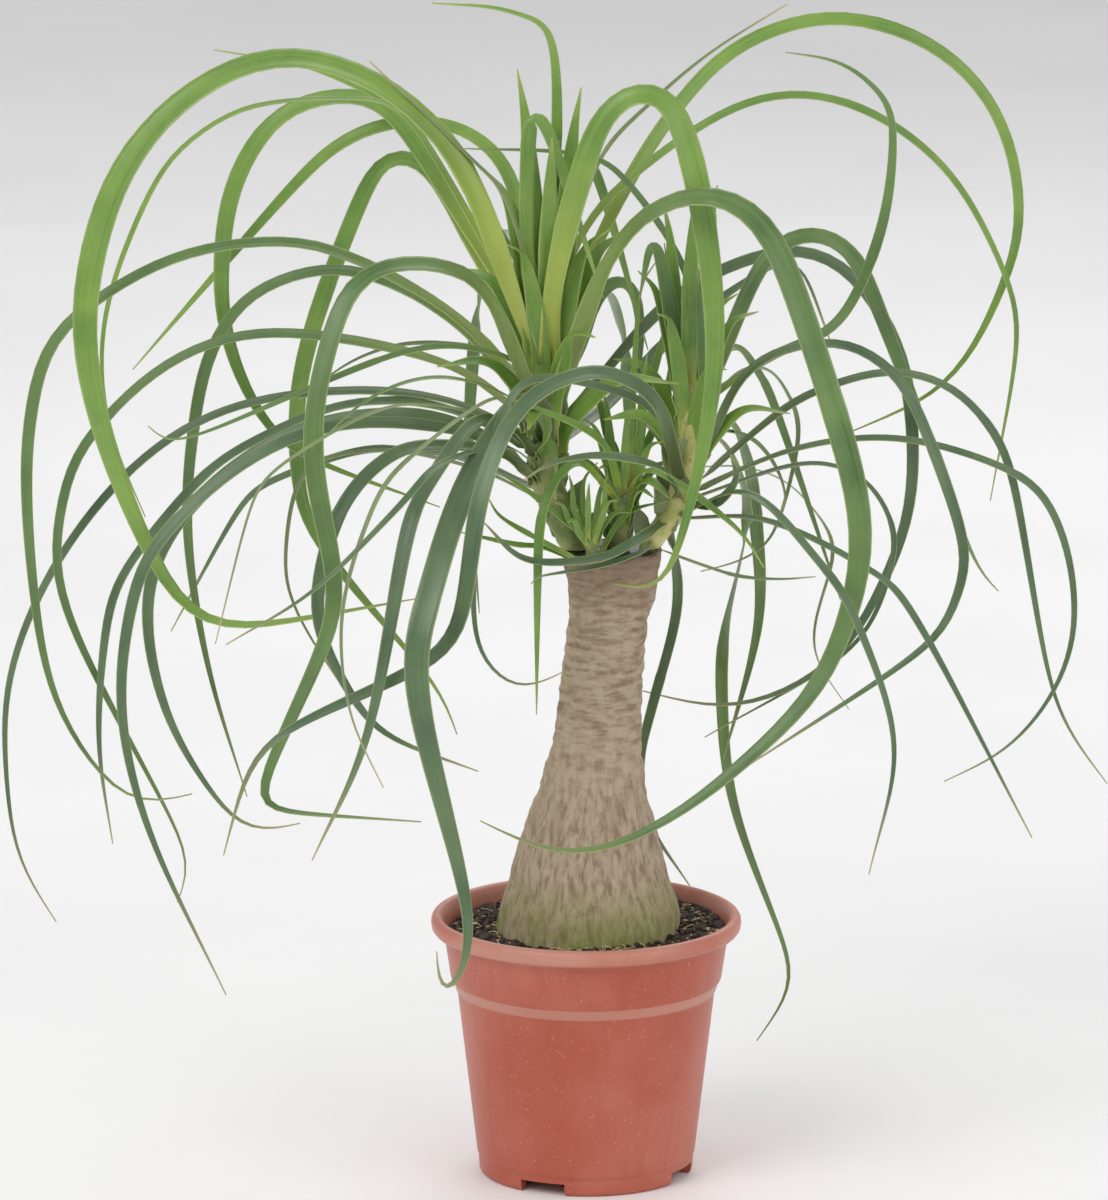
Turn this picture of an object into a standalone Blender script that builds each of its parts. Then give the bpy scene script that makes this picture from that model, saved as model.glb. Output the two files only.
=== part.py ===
"""Potted ponytail palm: nursery pot, soil, swollen trunk, four shoots and long strap leaves.

Lengths in the tables are millimetres; the model is built in metres, +Z up, with its origin on the
pot's axis at the level of the feet. The front of the plant faces -Y.
"""

import math

import bmesh
import bpy
from mathutils import Vector

MM = 0.001
GAP = 0.3
SIDES = 40

POT_HEIGHT = 145.0
POT_WALL = 2.2
FOOT_HEIGHT = 7.5
FLOOR_THICKNESS = 2.5
PAD_RADIUS = 12.0
NOTCH_WIDTH = 26.0
NOTCH_HEIGHT = 7.0
NOTCH_ANGLES = (-24.5, 65.5, 155.5, 245.5)

# The pot's outer wall from the feet up: radius, height.
POT_OUTSIDE = (
    (57.0, 0.0), (58.6, 1.5), (59.0, 4.0), (59.6, 10.5), (70.6, 102.0), (74.0, 109.0),
    (77.6, 132.0), (78.2, 134.6), (83.4, 135.4), (85.0, 138.0), (85.0, 141.5), (83.6, 144.2),
)

SOIL_TOP = 138.0
SOIL_POCKET_FLOOR = 104.0
TRUNK_SOCKET_RADIUS = 52.4

# Trunk sections: centre across, height, radius. The foot is buried in the soil.
TRUNK_SECTIONS = (
    (0.0, 104.4, 44.0), (0.0, 112.0, 50.0), (0.3, 132.0, 51.0), (1.6, 141.0, 50.4), (1.8, 152.0, 47.9),
    (2.1, 163.0, 43.8), (1.5, 175.0, 41.0), (2.1, 186.0, 38.2), (2.6, 197.0, 35.0), (2.9, 208.0, 31.4),
    (3.7, 220.0, 28.4), (4.8, 231.0, 26.2), (5.8, 242.0, 24.5), (7.5, 265.0, 22.9), (9.9, 293.0, 22.0),
    (11.8, 309.0, 21.7), (13.6, 320.0, 23.1), (14.4, 334.0, 25.0), (14.1, 343.0, 26.9), (14.1, 349.0, 27.0),
)
TRUNK_SIDES = 24

# Shoot stems standing on the cut top of the trunk: centre line and radius.
TRUNK_TOP = 349.0
SHOOTS = {
    "tall": ((-6, 0, 349.6, 8.0), (-6, 0, 352, 8.5), (-15, 0, 368, 9.0), (-22, 0, 388, 9.0), (-24, 0, 410, 8.5), (-22, 0, 432, 8.0),
             (-21, 0, 470, 4.0)),
    "right": ((34, 0, 349.6, 5.5), (34, 0, 352, 6.5), (44, 0, 364, 8.0), (52, 0, 380, 8.0), (56, 0, 404, 7.5), (56, 0, 431, 6.5),
              (55, 0, 455, 3.5)),
    "middle": ((17, 4, 349.6, 6.0), (17, 4, 352, 6.0), (19, 2, 366, 6.0), (20, 0, 382, 5.0), (20, 0, 392, 3.0)),
    "front": ((3, -17, 349.6, 3.5), (3, -17, 352, 3.5), (1, -18, 358, 3.4), (0, -19, 366, 2.0)),
}

LEAF_THICKNESS = 0.9
LEAF_BASE_WIDTH = 2.6
LEAF_TIP_WIDTH = 1.2
LEAF_ROWS = 13

# Leaves: shoot, height of the foot on it, widest blade, then the route's points (across, depth, up).
LEAVES = {
    "tall_01": ("tall", 453, 14.5, ((-69, -21, 567), (-118, -30, 614), (-170, -35, 626),
        (-220, -39, 600), (-239, -40, 578), (-256, -40, 549), (-270, -46, 482), (-257, -51, 414),
        (-228, -58, 345), (-213, -60, 325), (-192, -62, 318), (-92, -70, 337))),
    "tall_02": ("tall", 459, 9.7, ((-68, 47, 524), (-107, 73, 579), (-129, 79, 585), (-167, 86, 574),
        (-194, 90, 531), (-201, 98, 473), (-196, 103, 438), (-184, 107, 408), (-161, 113, 379),
        (-81, 125, 345))),
    "tall_03": ("tall", 453, 9.7, ((-50, 36, 488), (-85, 79, 546), (-102, 87, 550), (-116, 93, 541),
        (-155, 112, 434), (-160, 123, 364), (-148, 129, 323), (-83, 146, 237), (-72, 150, 209))),
    "tall_04": ("tall", 462, 3.8, ((-95, 16, 583), (-122, 18, 593), (-179, 20, 590), (-206, 21, 576),
        (-231, 24, 551), (-261, 31, 475), (-261, 35, 413), (-241, 40, 358))),
    "tall_05": ("tall", 464, 7.5, ((-38, 53, 534), (-51, 66, 557), (-73, 74, 569), (-103, 79, 570),
        (-132, 83, 559), (-162, 94, 530), (-251, 130, 422))),
    "tall_06": ("tall", 470, 5.4, ((-17, 11, 615), (-39, 13, 641), (-83, 15, 646))),
    "tall_07": ("tall", 453, 12.9, ((-18, -14, 497), (3, -33, 580), (17, -38, 603), (32, -40, 609),
        (46, -42, 601), (62, -45, 541), (68, -47, 452), (46, -49, 349), (31, -50, 336),
        (14, -50, 341))),
    "tall_08": ("tall", 464, 4.8, ((-12, 16, 497), (11, 33, 536), (83, 54, 584), (140, 60, 585),
        (196, 71, 546), (231, 85, 481), (237, 92, 443), (224, 110, 352))),
    "tall_09": ("tall", 462, 7.5, ((26, 51, 548), (67, 74, 601), (95, 82, 618), (127, 87, 627),
        (160, 90, 623), (190, 93, 610), (216, 100, 586), (232, 107, 555), (239, 114, 517),
        (235, 121, 483), (202, 136, 414), (142, 150, 380))),
    "tall_10": ("tall", 431, 12.9, ((7, -34, 504), (26, -49, 538), (47, -58, 554), (68, -65, 558),
        (86, -71, 551), (101, -78, 531), (135, -94, 432), (147, -98, 370), (130, -103, 308),
        (106, -106, 276), (47, -111, 227), (-9, -116, 206), (-57, -120, 227))),
    "tall_11": ("tall", 429, 10.2, ((-53, -47, 498), (-73, -62, 517), (-114, -82, 520),
        (-131, -93, 500), (-146, -109, 432), (-134, -117, 361), (-136, -121, 332), (-175, -136, 245),
        (-166, -138, 237), (-88, -150, 234))),
    "tall_12": ("tall", 434, 7.0, ((-71, -7, 480), (-130, -13, 514), (-159, -15, 522),
        (-221, -19, 514), (-280, -20, 478), (-295, -19, 451), (-303, -14, 385), (-292, -7, 275),
        (-260, -3, 217), (-241, -2, 205), (-215, 0, 212))),
    "tall_13": ("tall", 423, 6.5, ((-74, 43, 469), (-132, 68, 491), (-181, 81, 476), (-200, 84, 454),
        (-212, 88, 422), (-221, 108, 341), (-211, 130, 254), (-190, 150, 173))),
    "tall_14": ("tall", 418, 5.4, ((-74, 17, 448), (-169, 36, 462), (-227, 43, 444), (-272, 45, 401),
        (-285, 49, 372), (-287, 57, 305), (-224, 75, 167), (-220, 78, 143), (-227, 80, 130))),
    "tall_15": ("tall", 440, 3.2, ((-44, -23, 460), (-97, -54, 469), (-211, -92, 430),
        (-233, -100, 438))),
    "tall_16": ("tall", 409, 4.8, ((-74, 23, 427), (-137, 42, 428), (-200, 55, 414), (-250, 60, 380),
        (-294, 71, 321), (-320, 84, 253), (-321, 96, 182), (-314, 103, 144), (-296, 110, 111))),
    "tall_17": ("tall", 404, 6.5, ((-77, 21, 423), (-131, 35, 422), (-186, 43, 397), (-211, 45, 378),
        (-251, 52, 328), (-263, 55, 297), (-269, 63, 227), (-262, 70, 166))),
    "tall_18": ("tall", 394, 7.0, ((-74, 0, 421), (-136, 0, 421), (-188, 0, 397), (-227, -1, 356),
        (-239, -3, 313), (-227, -5, 254), (-195, -8, 202), (-177, -9, 193), (-156, -10, 198))),
    "tall_19": ("tall", 386, 6.5, ((-47, -17, 410), (-74, -29, 422), (-132, -51, 429),
        (-183, -65, 411), (-228, -72, 371), (-242, -74, 343), (-250, -80, 281), (-235, -86, 212),
        (-194, -95, 124))),
    "tall_20": ("tall", 379, 4.8, ((-69, 93, 380), (-97, 125, 377), (-126, 145, 373), (-174, 160, 353),
        (-193, 169, 336), (-234, 200, 257))),
    "tall_21": ("tall", 388, 7.5, ((-47, -26, 408), (-89, -60, 419), (-108, -72, 414),
        (-125, -82, 399), (-137, -89, 376), (-144, -91, 330), (-124, -93, 286), (-105, -93, 266),
        (-58, -95, 248))),
    "tall_22": ("tall", 401, 8.1, ((-44, -45, 427), (-60, -69, 434), (-84, -119, 410),
        (-95, -140, 388), (-116, -170, 286), (-145, -190, 223))),
    "tall_23": ("tall", 409, 12.9, ((-22, -30, 435), (-35, -48, 441), (-63, -110, 410),
        (-82, -156, 362), (-90, -170, 311), (-63, -158, 185), (-70, -154, 144), (-79, -153, 138),
        (-80, -150, 163))),
    "tall_24": ("tall", 409, 7.0, ((46, 68, 473), (104, 98, 495), (132, 107, 491), (154, 114, 471),
        (170, 119, 442), (179, 119, 413), (179, 102, 346), (150, 84, 283), (127, 75, 261),
        (99, 67, 249), (71, 60, 246), (31, 50, 258))),
    "tall_25": ("tall", 401, 6.5, ((10, 69, 413), (35, 113, 431), (60, 130, 451), (102, 143, 477),
        (119, 147, 476), (137, 160, 430))),
    "right_01": ("right", 387, 9.1, ((39, -48, 438), (22, -68, 456), (2, -85, 465), (-35, -113, 452),
        (-56, -135, 410), (-65, -143, 352), (-78, -148, 324), (-157, -162, 288), (-178, -167, 269),
        (-192, -175, 222))),
    "right_02": ("right", 365, 5.9, ((23, -44, 361), (4, -58, 356), (-33, -67, 358), (-56, -75, 381))),
    "right_03": ("right", 404, 8.1, ((66, 27, 429), (91, 69, 484), (106, 79, 503), (124, 85, 508),
        (140, 88, 501), (155, 90, 478), (214, 124, 320), (230, 130, 296))),
    "right_04": ("right", 391, 5.9, ((87, -12, 451), (132, -21, 468), (156, -25, 459), (175, -28, 438),
        (204, -33, 358), (199, -36, 330), (183, -39, 303), (84, -50, 238))),
    "right_05": ("right", 384, 4.3, ((108, 26, 422), (135, 35, 433), (165, 43, 439), (196, 47, 431),
        (218, 50, 410), (233, 53, 379), (254, 69, 268), (267, 75, 230), (289, 80, 198))),
    "right_06": ("right", 381, 3.8, ((113, -2, 405), (172, -4, 411), (235, -5, 391), (254, -3, 368),
        (264, 2, 334), (265, 6, 297), (253, 10, 263), (229, 15, 233), (196, 20, 214))),
    "right_07": ("right", 366, 3.8, ((96, -22, 370), (150, -42, 348), (177, -46, 321),
        (239, -90, 210))),
    "right_08": ("right", 368, 4.3, ((87, -55, 392), (124, -110, 365), (142, -124, 339),
        (163, -144, 274), (149, -165, 209))),
    "right_09": ("right", 420, 7.0, ((77, 31, 414), (89, 70, 381), (94, 100, 343), (96, 113, 281),
        (77, 120, 202))),
    "right_10": ("right", 415, 6.5, ((74, 25, 404), (85, 55, 375), (89, 84, 341), (78, 126, 275),
        (76, 137, 241), (83, 142, 170), (115, 147, 79), (114, 148, 58), (97, 150, 31))),
    "right_11": ("right", 429, 5.4, ((102, 17, 453), (137, 23, 470), (160, 23, 523), (165, 18, 581),
        (153, 15, 602), (134, 13, 615), (107, 10, 620))),
    "right_12": ("right", 363, 5.4, ((50, 34, 310), (36, 50, 247), (30, 42, 221), (34, 32, 189),
        (57, 20, 155))),
    "middle_01": ("middle", 376, 4.8, ((-3, -33, 404), (-14, -43, 400), (-22, -54, 387),
        (-26, -60, 362), (-27, -60, 271))),
    "middle_02": ("middle", 379, 3.8, ((32, -16, 396), (50, -28, 391), (71, -37, 377), (85, -49, 366),
        (95, -60, 352))),
    "middle_03": ("middle", 382, 3.8, ((29, 24, 413), (42, 36, 458), (49, 40, 469), (56, 45, 453),
        (60, 50, 435))),
    "middle_04": ("middle", 379, 4.8, ((7, -36, 417), (-30, -53, 439), (-46, -60, 445))),
    "front_01": ("front", 360, 3.2, ((-32, -22, 386), (-47, -30, 397))),
    "back_1": ("tall", 425, 9.0, ((-30, 60, 480), (-45, 140, 500), (-60, 200, 440), (-66, 225, 350), (-60, 232, 260))),
    "back_2": ("tall", 415, 8.0, ((-8, 50, 455), (10, 120, 470), (22, 180, 420), (26, 200, 340), (20, 205, 230))),
}


def clear_scene():
    for obj in list(bpy.data.objects):
        bpy.data.objects.remove(obj, do_unlink=True)


def collection(name):
    made = bpy.data.collections.new(name)
    bpy.context.scene.collection.children.link(made)
    return made


def material(name, colour, roughness):
    made = bpy.data.materials.new(name)
    made.use_nodes = True
    shader = made.node_tree.nodes["Principled BSDF"]
    shader.inputs["Base Color"].default_value = (*colour, 1.0)
    shader.inputs["Roughness"].default_value = roughness
    shader.inputs["Metallic"].default_value = 0.0
    return made


def add_mesh(name, points, edges, faces, home, finish):
    mesh = bpy.data.meshes.new(name)
    mesh.from_pydata([Vector(point) * MM for point in points], edges, faces)
    mesh.update()
    obj = bpy.data.objects.new(name, mesh)
    home.objects.link(obj)
    mesh.materials.append(finish)
    return obj


def turned(name, profile, home, finish, sides=SIDES):
    """A solid of revolution from (radius, height) points that run down its outer side."""
    points = [(radius, 0.0, height) for radius, height in profile]
    edges = [(i, i + 1) for i in range(len(points) - 1)]
    obj = add_mesh(name, points, edges, [], home, finish)
    screw = obj.modifiers.new("Screw", "SCREW")
    screw.steps = sides
    screw.render_steps = sides
    screw.use_merge_vertices = True
    screw.merge_threshold = 0.00005
    return obj


def tube(name, sections, sides, home, finish):
    """A round stem along (x, y, z, radius) sections, with flat ends."""
    curve = bpy.data.curves.new(name, "CURVE")
    curve.dimensions = "3D"
    curve.bevel_depth = MM
    curve.bevel_resolution = sides // 2 - 2
    curve.use_fill_caps = True
    spline = curve.splines.new("POLY")
    spline.points.add(len(sections) - 1)
    for point, (x, y, z, radius) in zip(spline.points, sections):
        point.co = (x * MM, y * MM, z * MM, 1.0)
        point.radius = radius
    obj = bpy.data.objects.new(name, curve)
    home.objects.link(obj)
    curve.materials.append(finish)
    return obj


def build_pot(home, cutters, finish):
    inside = [(radius - POT_WALL, height) for radius, height in POT_OUTSIDE[3:7]]
    floor = FOOT_HEIGHT + FLOOR_THICKNESS
    inside[0] = (inside[0][0], floor)
    lip = [(78.0, POT_HEIGHT - 4.0), (79.5, POT_HEIGHT - 1.0), (81.0, POT_HEIGHT)]
    underside = [(53.0, 0.0), (51.5, FOOT_HEIGHT), (PAD_RADIUS + 1.5, FOOT_HEIGHT), (PAD_RADIUS, 0.0)]
    profile = [(0.0, floor), *inside, *lip, *reversed(POT_OUTSIDE), *underside, (0.0, 0.0)]
    pot = turned("pot", profile, home, finish)
    for number, angle in enumerate(NOTCH_ANGLES, 1):
        turn = math.radians(angle)
        bpy.ops.mesh.primitive_cube_add(size=1.0)
        notch = bpy.context.object
        notch.name = f"notch_cutter_{number}"
        notch.scale = (NOTCH_WIDTH * MM, 24.0 * MM, 2.0 * NOTCH_HEIGHT * MM)
        notch.rotation_euler = (0.0, 0.0, turn)
        notch.location = (57.0 * MM * math.sin(turn), -57.0 * MM * math.cos(turn), 0.0)
        notch.hide_render = True
        notch.display_type = "WIRE"
        for owner in list(notch.users_collection):
            owner.objects.unlink(notch)
        cutters.objects.link(notch)
        cut = pot.modifiers.new(f"Notch {number}", "BOOLEAN")
        cut.operation = "DIFFERENCE"
        cut.solver = "EXACT"
        cut.object = notch


def build_soil(home, finish):
    lining = [(radius - POT_WALL - GAP, height) for radius, height in POT_OUTSIDE[3:6]]
    bottom = FOOT_HEIGHT + FLOOR_THICKNESS + GAP
    edge = [(74.6, SOIL_TOP), *reversed(lining[1:]), (lining[0][0], bottom)]
    pocket = [(0.0, SOIL_POCKET_FLOOR), (TRUNK_SOCKET_RADIUS, SOIL_POCKET_FLOOR), (TRUNK_SOCKET_RADIUS, SOIL_TOP)]
    turned("soil", [*pocket, *edge, (0.0, bottom)], home, finish)


def smooth_route(points, count):
    """Evenly spaced points on a smooth curve through the given ones."""
    ends = [2 * points[0] - points[1], *points, 2 * points[-1] - points[-2]]
    dense = []
    for a, b, c, d in zip(ends, ends[1:], ends[2:], ends[3:]):
        for step in range(12):
            t = step / 12
            dense.append(0.5 * (2 * b + (c - a) * t + (2 * a - 5 * b + 4 * c - d) * t * t
                                + (3 * b - a - 3 * c + d) * t ** 3))
    dense.append(points[-1])
    travelled = [0.0]
    for a, b in zip(dense, dense[1:]):
        travelled.append(travelled[-1] + (b - a).length)
    route = []
    index = 0
    for row in range(count):
        target = travelled[-1] * row / (count - 1)
        while index < len(dense) - 2 and travelled[index + 1] < target:
            index += 1
        span = max(travelled[index + 1] - travelled[index], 1e-6)
        route.append(dense[index].lerp(dense[index + 1], (target - travelled[index]) / span))
    return route


def stem_at(shoot, height):
    """The shoot's centre and radius at a height."""
    sections = SHOOTS[shoot]
    for (x0, y0, z0, r0), (x1, y1, z1, r1) in zip(sections, sections[1:]):
        if height <= z1:
            t = max(0.0, (height - z0) / (z1 - z0))
            return Vector((x0 + (x1 - x0) * t, y0 + (y1 - y0) * t, height)), r0 + (r1 - r0) * t
    return Vector((x1, y1, z1)), r1


def seated_route(shoot, height, route):
    """The leaf's route with its foot set just off the side of its shoot."""
    points = [Vector(point) for point in route]
    centre, radius = stem_at(shoot, height)
    away = points[0] - centre
    away.z = 0.0
    foot = centre + away.normalized() * (radius + LEAF_THICKNESS / 2 + 1.5 * GAP)
    return [foot, *points]


def leaf_width(share, widest):
    """Narrow foot, full blade from a fifth of the length, long taper to the tip."""
    if share < 0.2:
        return LEAF_BASE_WIDTH + (widest - LEAF_BASE_WIDTH) * share / 0.2
    if share < 0.55:
        return widest
    return widest + (LEAF_TIP_WIDTH - widest) * (share - 0.55) / 0.45


def build_leaf(name, shoot, height, widest, route, home, finish):
    """A strap leaf: a flat ribbon along its route, solidified."""
    centres = smooth_route(seated_route(shoot, height, route), LEAF_ROWS)
    outward = centres[LEAF_ROWS // 2] - centres[0]
    side = Vector((-outward.y, outward.x, 0.0)).normalized()
    points = []
    for row, centre in enumerate(centres):
        before, after = centres[max(row - 1, 0)], centres[min(row + 1, LEAF_ROWS - 1)]
        along = (after - before).normalized()
        side = (side - along * side.dot(along)).normalized()
        half = leaf_width(row / (LEAF_ROWS - 1), widest) / 2
        points += [centre - side * half, centre + side * half]
    faces = [(2 * i, 2 * i + 1, 2 * i + 3, 2 * i + 2) for i in range(LEAF_ROWS - 1)]
    leaf = add_mesh(name, points, [], faces, home, finish)
    shell = leaf.modifiers.new("Thickness", "SOLIDIFY")
    shell.thickness = LEAF_THICKNESS * MM
    shell.offset = 0.0


def main():
    clear_scene()
    plant = collection("ponytail_palm")
    cutters = collection("cutters")
    build_pot(plant, cutters, material("terracotta plastic", (0.50, 0.09, 0.05), 0.38))
    build_soil(plant, material("peat", (0.03, 0.02, 0.014), 0.95))
    bark = material("bark", (0.42, 0.31, 0.20), 0.85)
    tube("trunk", [(x, 0.0, z, radius) for x, z, radius in TRUNK_SECTIONS], TRUNK_SIDES, plant, bark)
    stem = material("leaf sheaths", (0.36, 0.40, 0.09), 0.5)
    for shoot, sections in SHOOTS.items():
        tube(f"shoot_{shoot}", sections, 12, plant, stem)
    blade = material("leaf blade", (0.12, 0.26, 0.05), 0.4)
    for name, (shoot, height, widest, route) in LEAVES.items():
        build_leaf(f"leaf_{name}", shoot, height, widest, route, plant, blade)


if __name__ == "__main__":
    main()
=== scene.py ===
"""Looks of the potted ponytail palm: pot, soil, trunk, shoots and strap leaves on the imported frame.

Tables are in millimetres in the frame's own axes; meshes are built in metres.
"""

import logging
import math
import random
from collections import Counter
from dataclasses import dataclass, field
from enum import Enum

import bmesh
import bpy
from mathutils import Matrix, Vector, noise

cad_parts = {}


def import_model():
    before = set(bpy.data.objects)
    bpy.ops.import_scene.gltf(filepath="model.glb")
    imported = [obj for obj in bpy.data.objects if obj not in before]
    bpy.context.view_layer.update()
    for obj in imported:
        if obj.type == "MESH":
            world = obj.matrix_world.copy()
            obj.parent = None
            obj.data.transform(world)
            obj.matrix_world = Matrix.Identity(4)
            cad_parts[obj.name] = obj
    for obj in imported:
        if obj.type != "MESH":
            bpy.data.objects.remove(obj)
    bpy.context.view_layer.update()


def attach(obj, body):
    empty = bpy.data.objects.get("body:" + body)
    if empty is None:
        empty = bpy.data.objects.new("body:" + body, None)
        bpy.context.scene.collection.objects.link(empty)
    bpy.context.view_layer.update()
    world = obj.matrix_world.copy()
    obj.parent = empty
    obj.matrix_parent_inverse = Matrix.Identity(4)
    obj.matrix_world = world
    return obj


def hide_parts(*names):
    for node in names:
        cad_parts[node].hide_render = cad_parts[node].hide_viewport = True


log = logging.getLogger("ponytail_palm")

MM = 0.001
GOLDEN_ANGLE = 2.39996
UP = Vector((0.0, 0.0, 1.0))

Point = tuple[float, float, float]
Colour = tuple[float, float, float]
Material = bpy.types.Material
Node = bpy.types.Node
Socket = bpy.types.NodeSocket


class Age(Enum):
    """How old a leaf is, which sets its colour."""

    YOUNG = "young"
    MATURE = "mature"
    OLD = "old"
    DRY = "dry"


@dataclass(frozen=True)
class Leaf:
    """One strap leaf: its shoot, its foot's height, its widest blade and its route (across, depth, up)."""

    shoot: str
    foot: float
    width: float
    route: tuple[Point, ...]


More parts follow.
